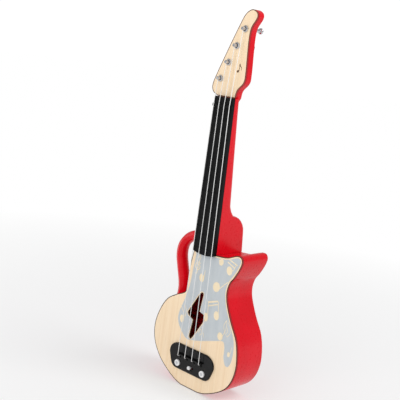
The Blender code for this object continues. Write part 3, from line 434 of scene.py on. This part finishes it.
def make_control_pieces():
    refined("control_panel", PANEL, 0.3, smooth=42)
    for side in ("left", "right"):
        low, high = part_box("button_" + side)
        white = button_material("button_white_" + side, (low + high) / 2, inner=2.9, edge=5.0)
        refined("button_" + side, white, 0.25, smooth=42)
    low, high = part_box("power_slider")
    white = button_material("slider_white", (low + high) / 2, inner=0.6, edge=3.2)
    refined("power_slider", white, 0.2, smooth=42)


def make_inner_pieces():
    for node in ("front_frame", "speaker_frame", "slide_switch", "switch_left", "switch_right"):
        refined(node, GREY, 0.15, segments=1)
    for node in ("speaker_magnet", "contact_left", "contact_right", "handle_screw_upper",
                 "handle_screw_lower", "neck_screw_left", "neck_screw_right", "door_screw",
                 "board_screw_left", "board_screw_right",
                 *[f"body_screw_{i}" for i in range(1, 6)]):
        refined(node, STEEL, 0.1, segments=1)
    refined("speaker_cone", CONE, 0.1, segments=1, smooth=40)
    refined("circuit_board", CIRCUIT, 0.1, segments=1)
    for node in ("speaker_wire", "battery_wire"):
        refined(node, LEAD, 0, smooth=60)
    for i, side in ((1, 1), (2, -1), (3, 1)):
        refined(f"battery_{i}", battery_material(f"battery_{i}", side),
                0.15, smooth=40)


# ---------------------------------------------------------------- print on the face

PRINT_EDGE = [
    (-17.2, -219), (-17.9, -224), (-19.6, -238), (-20.9, -251.5), (-22.4, -268), (-24.8, -280),
    (-30, -298.7), (-35.5, -313), (-38.2, -324), (-37.6, -332), (-34, -339.8), (-26, -348.4),
    (-19, -354.2), (-12, -355.6), (-4, -354), (11.4, -350), (29, -344), (45.7, -338.3),
    (52, -336.2), (56.5, -337), (59, -342.8), (59.7, -351), (60, -359), (63.5, -367.8),
    (67, -370.4), (71, -369), (75, -361), (76.5, -347), (75.6, -335), (72.6, -324.5),
    (61.6, -303.5), (53, -287), (49.3, -276), (47.1, -262), (50.3, -247.6), (56.6, -238.2),
    (64.3, -224.3), (67.6, -214), (66, -209.9), (60.4, -209.1), (42.6, -216), (23.8, -218.5),
]
BOLT_EDGE = [
    (3.1, -275.5), (7.3, -277.6), (7.1, -285), (4.2, -305.7), (12.3, -308.2), (16.3, -313.6),
    (14.8, -318.9), (-3.4, -349.6), (-8.3, -354.2), (-12.7, -350.6), (-12.1, -342.3),
    (-9.1, -323.9), (-17.4, -319.8), (-21.1, -314.6), (-19.2, -309.8), (-2.2, -280.7),
]


def smoothed(points, steps=4, closed=True):
    """A smooth line through the given points."""
    places = [Vector(p) for p in points]
    count = len(places)
    line = []
    for i in range(count if closed else count - 1):
        a, b = places[i], places[(i + 1) % count]
        before = places[i - 1] if closed or i else a
        after = places[(i + 2) % count] if closed or i + 2 < count else b
        for k in range(steps):
            t = k / steps
            line.append(0.5 * (2 * a + (b - before) * t
                               + (2 * before - 5 * a + 4 * b - after) * t**2
                               + (3 * a - before - 3 * b + after) * t**3))
    return line if closed else line + [places[-1]]


def oval(x, z, width, height, tilt=0.0):
    """An ellipse round (x, z), turned by tilt degrees."""
    turn = math.radians(tilt)
    sides = 28
    points = []
    for k in range(sides):
        angle = 2 * math.pi * k / sides
        u, v = math.cos(angle) * width / 2, math.sin(angle) * height / 2
        points.append(Vector((x + u * math.cos(turn) - v * math.sin(turn),
                              z + u * math.sin(turn) + v * math.cos(turn))))
    return points


def stroke(points, width, end_width=None):
    """A ribbon along a smooth open line, tapering to end_width."""
    line = smoothed(points, 5, False)
    end_width = width if end_width is None else end_width
    left, right = [], []
    for i, p in enumerate(line):
        onward = line[min(i + 1, len(line) - 1)] - line[max(i - 1, 0)]
        side = Vector((-onward.y, onward.x)).normalized()
        half = (width + (end_width - width) * i / (len(line) - 1)) / 2
        left.append(p + side * half)
        right.append(p - side * half)
    return left + right[::-1]


def motif_shapes():
    """Generic notes, beams, a clef and a leaf swirl, each shape one outline."""
    shapes = [
        oval(-1.4, -255.7, 9.5, 12.5, 12), stroke([(3.0, -254), (3.4, -243)], 1.1),
        oval(32.1, -222.6, 8.5, 10.5, -10), stroke([(27.9, -222), (26.9, -219.4)], 1.0),
        oval(49.1, -231, 10.5, 13, 10), stroke([(56.1, -229.3), (60.9, -218.3)], 1.0),
        stroke([(53.2, -229), (56.2, -229.3)], 1.0),
        stroke([(46.5, -214.9), (62.6, -219.6)], 1.7),
        stroke([(44.2, -219.2), (58.4, -224.7)], 1.7),
        oval(29.1, -261, 13, 15, -12), stroke([(34.6, -262.6), (41, -256), (49.2, -248)], 1.2),
        oval(16.6, -311, 8.5, 13, 8), oval(36.2, -302.7, 10, 13.5, 8),
        stroke([(17.1, -287.7), (35.7, -280.9)], 2.4),
        stroke([(17.8, -293.2), (36.3, -285.6)], 1.6),
        stroke([(18, -287), (19.4, -306)], 1.0), stroke([(36.6, -281), (39.6, -299)], 1.0),
        oval(-30.3, -328, 8, 12, 8), stroke([(-26.6, -326.6), (-27.8, -318.5), (-36.0, -308)], 1.0),
        stroke([(-24.6, -323), (-23.4, -314), (-28.2, -304)], 0.8),
        oval(48.3, -330.4, 10, 12, 8), oval(68.6, -351.4, 5.4, 7.5, 0),
        stroke([(71.5, -349), (72.6, -339)], 0.8),
        stroke([(53, -328), (57, -318), (57.6, -309), (56.2, -302.6)], 0.9, 0.5),
        stroke([(56.6, -303.5), (52.9, -312), (55.6, -321), (61.6, -327)], 0.9, 0.5),
        stroke([(61.6, -327), (66.6, -319.5), (65, -311), (59.6, -305)], 0.9, 0.5),
        stroke([(59, -313), (61.2, -318.5), (58.6, -323)], 0.8, 0.4),
        stroke([(6.2, -338.5), (10.2, -331.5), (12.6, -336.5)], 0.8, 0.5),
        stroke([(9, -342), (15.5, -336), (17, -343)], 0.8, 0.5),
    ]
    spiral = []
    for k in range(19):
        angle = math.radians(-60 - 34 * k)
        radius = 1.6 + 0.25 * k
        spiral.append((-11.4 + math.cos(angle) * radius, -240.6 + math.sin(angle) * radius * 1.12))
    stem = [(-9.8, -222.5), (-8.2, -226), (-9.4, -230.5), (-11.4, -240), (-12.0, -249),
            (-13.4, -252.6), (-15.4, -251.2)]
    return shapes + [stroke(spiral, 1.0, 1.3), stroke(stem, 1.1, 1.0),
                     stroke([(-9.8, -222.5), (-12.4, -227.5), (-15.2, -234)], 0.9, 1.0)]


def add_thin_shape(solid, line, front, back):
    """A flat outline as a thin closed plate in front of the face."""
    ring = [solid.verts.new((p.x * MM, front, p.y * MM + NUT_Z)) for p in line]
    rear = [solid.verts.new((p.x * MM, back, p.y * MM + NUT_Z)) for p in line]
    solid.faces.new(ring)
    solid.faces.new(rear[::-1])
    for i in range(len(ring)):
        j = (i + 1) % len(ring)
        solid.faces.new((ring[j], ring[i], rear[i], rear[j]))


def finish_print(name, solid, material):
    """A printed piece from its solid; it rides on the body like the wood under it."""
    bmesh.ops.recalc_face_normals(solid, faces=solid.faces)
    mesh = bpy.data.meshes.new(name)
    solid.to_mesh(mesh)
    solid.free()
    mesh.materials.append(material)
    mesh.set_sharp_from_angle(angle=math.radians(30))
    piece = bpy.data.objects.new(name, mesh)
    bpy.context.scene.collection.objects.link(piece)
    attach(piece, "body")


def make_print():
    """The grey print, open over the sound hole, and the wood-coloured motifs on it."""
    curve = bpy.data.curves.new("print_outline", "CURVE")
    curve.dimensions = "2D"
    curve.fill_mode = "BOTH"
    curve.extrude = FILM / 2
    for loop in (smoothed(PRINT_EDGE, 4), smoothed(BOLT_EDGE, 3)):
        spline = curve.splines.new("POLY")
        spline.points.add(len(loop) - 1)
        spline.use_cyclic_u = True
        for target, p in zip(spline.points, loop):
            target.co = (p.x * MM, p.y * MM, 0, 1)
    holder = bpy.data.objects.new("print_outline", curve)
    bpy.context.scene.collection.objects.link(holder)
    bpy.context.view_layer.update()
    seen = holder.evaluated_get(bpy.context.evaluated_depsgraph_get())
    solid = bmesh.new()
    solid.from_mesh(bpy.data.meshes.new_from_object(seen))
    bpy.data.objects.remove(holder)
    bmesh.ops.remove_doubles(solid, verts=solid.verts, dist=1e-6)
    middle = FACE - 0.01 * MM - FILM / 2
    for v in solid.verts:
        v.co = Vector((v.co.x, middle - v.co.z, v.co.y + NUT_Z))
    finish_print("face_print", solid, PRINT)
    solid = bmesh.new()
    back = FACE - 0.02 * MM - FILM
    for k, shape in enumerate(motif_shapes()):
        add_thin_shape(solid, shape, back - 0.05 * MM - LAYER_STEP * k, back)
    finish_print("face_print_motifs", solid, MOTIF)


def make_head_mark():
    """A small generic quaver printed on the headstock."""
    solid = bmesh.new()
    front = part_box("headstock_face")[0].y
    for k, shape in enumerate([oval(14.2, 50.4, 4.6, 3.4, 25),
                               stroke([(16.2, 51.2), (16.2, 61.2)], 0.8),
                               stroke([(16.1, 61), (17.9, 57.8), (20.4, 55.4), (20, 52)],
                                      1.5, 0.4)]):
        add_thin_shape(solid, shape, front - 0.07 * MM - LAYER_STEP * k, front - 0.01 * MM)
    finish_print("headstock_mark", solid, BURNT)


# ---------------------------------------------------------------- stage

def make_floor():
    """A wide pale floor with a faint grain, lit up towards its far edges like a studio sweep."""
    shader = Shader("floor", 0.75, Specular_IOR_Level=0.1)
    shader.colour(shader.ramp(shader.noise(3, 3), (0.3, (0.90, 0.90, 0.905)),
                              (0.7, (0.92, 0.92, 0.925))))
    glow = shader.nodes.new("ShaderNodeEmission")
    blend = shader.nodes.new("ShaderNodeMixShader")
    far = shader.remap(shader.distance_on_floor(), 0.2, 1.2, 0.42, 1.0)
    shader.links.new(far, blend.inputs["Fac"])
    shader.links.new(shader.surface.outputs["BSDF"], blend.inputs[1])
    shader.links.new(glow.outputs["Emission"], blend.inputs[2])
    shader.links.new(blend.outputs["Shader"], shader.nodes["Material Output"].inputs["Surface"])
    mesh = bpy.data.meshes.new("floor")
    half, top = 15, -0.3 * MM
    mesh.from_pydata([(-half, -half, top), (half, -half, top), (half, half, top),
                      (-half, half, top)], [], [(0, 1, 2, 3)])
    mesh.materials.append(shader.material)
    floor = bpy.data.objects.new("floor", mesh)
    bpy.context.scene.collection.objects.link(floor)


def add_light(name, place, target, size, power):
    light = bpy.data.lights.new(name, "AREA")
    light.shape = "DISK"
    light.size = size
    light.energy = power
    lamp = bpy.data.objects.new(name, light)
    lamp.location = place
    lamp.rotation_euler = (Vector(target) - Vector(place)).to_track_quat("-Z", "Y").to_euler()
    bpy.context.scene.collection.objects.link(lamp)


def make_lights():
    """White surroundings that the camera sees brighter than they shine, and soft boxes."""
    world = bpy.data.worlds.new("studio")
    bpy.context.scene.world = world
    world.use_nodes = True
    nodes, links = world.node_tree.nodes, world.node_tree.links
    background = nodes["Background"]
    background.inputs["Color"].default_value = (1, 1, 1, 1)
    seen = nodes.new("ShaderNodeLightPath").outputs["Is Camera Ray"]
    power = nodes.new("ShaderNodeMapRange")
    power.inputs["To Min"].default_value = 0.5
    power.inputs["To Max"].default_value = 1.05
    links.new(seen, power.inputs["Value"])
    links.new(power.outputs["Result"], background.inputs["Strength"])
    middle = (0, 0, 0.25)
    add_light("key", (1.0, 0.35, 1.5), middle, 0.9, 11)
    add_light("front_fill", (0.2, -1.6, 0.9), middle, 1.3, 9)
    add_light("left_fill", (-1.4, -0.5, 0.8), middle, 1.0, 3)


def make_camera():
    camera = bpy.data.cameras.new("camera")
    camera.lens = 74.11
    camera.sensor_width = 36
    camera.clip_start, camera.clip_end = 0.01, 60
    holder = bpy.data.objects.new("camera", camera)
    holder.location = (0.7738, -0.9151, 0.4984)
    holder.rotation_euler = [math.radians(a) for a in (79.874, -7.2665, 43.210)]
    bpy.context.scene.collection.objects.link(holder)
    bpy.context.scene.camera = holder


make_camera()
make_shells()
make_neck_pieces()
make_control_pieces()
make_inner_pieces()
make_print()
make_head_mark()
make_floor()
make_lights()
bpy.context.scene.view_settings.view_transform = "Standard"
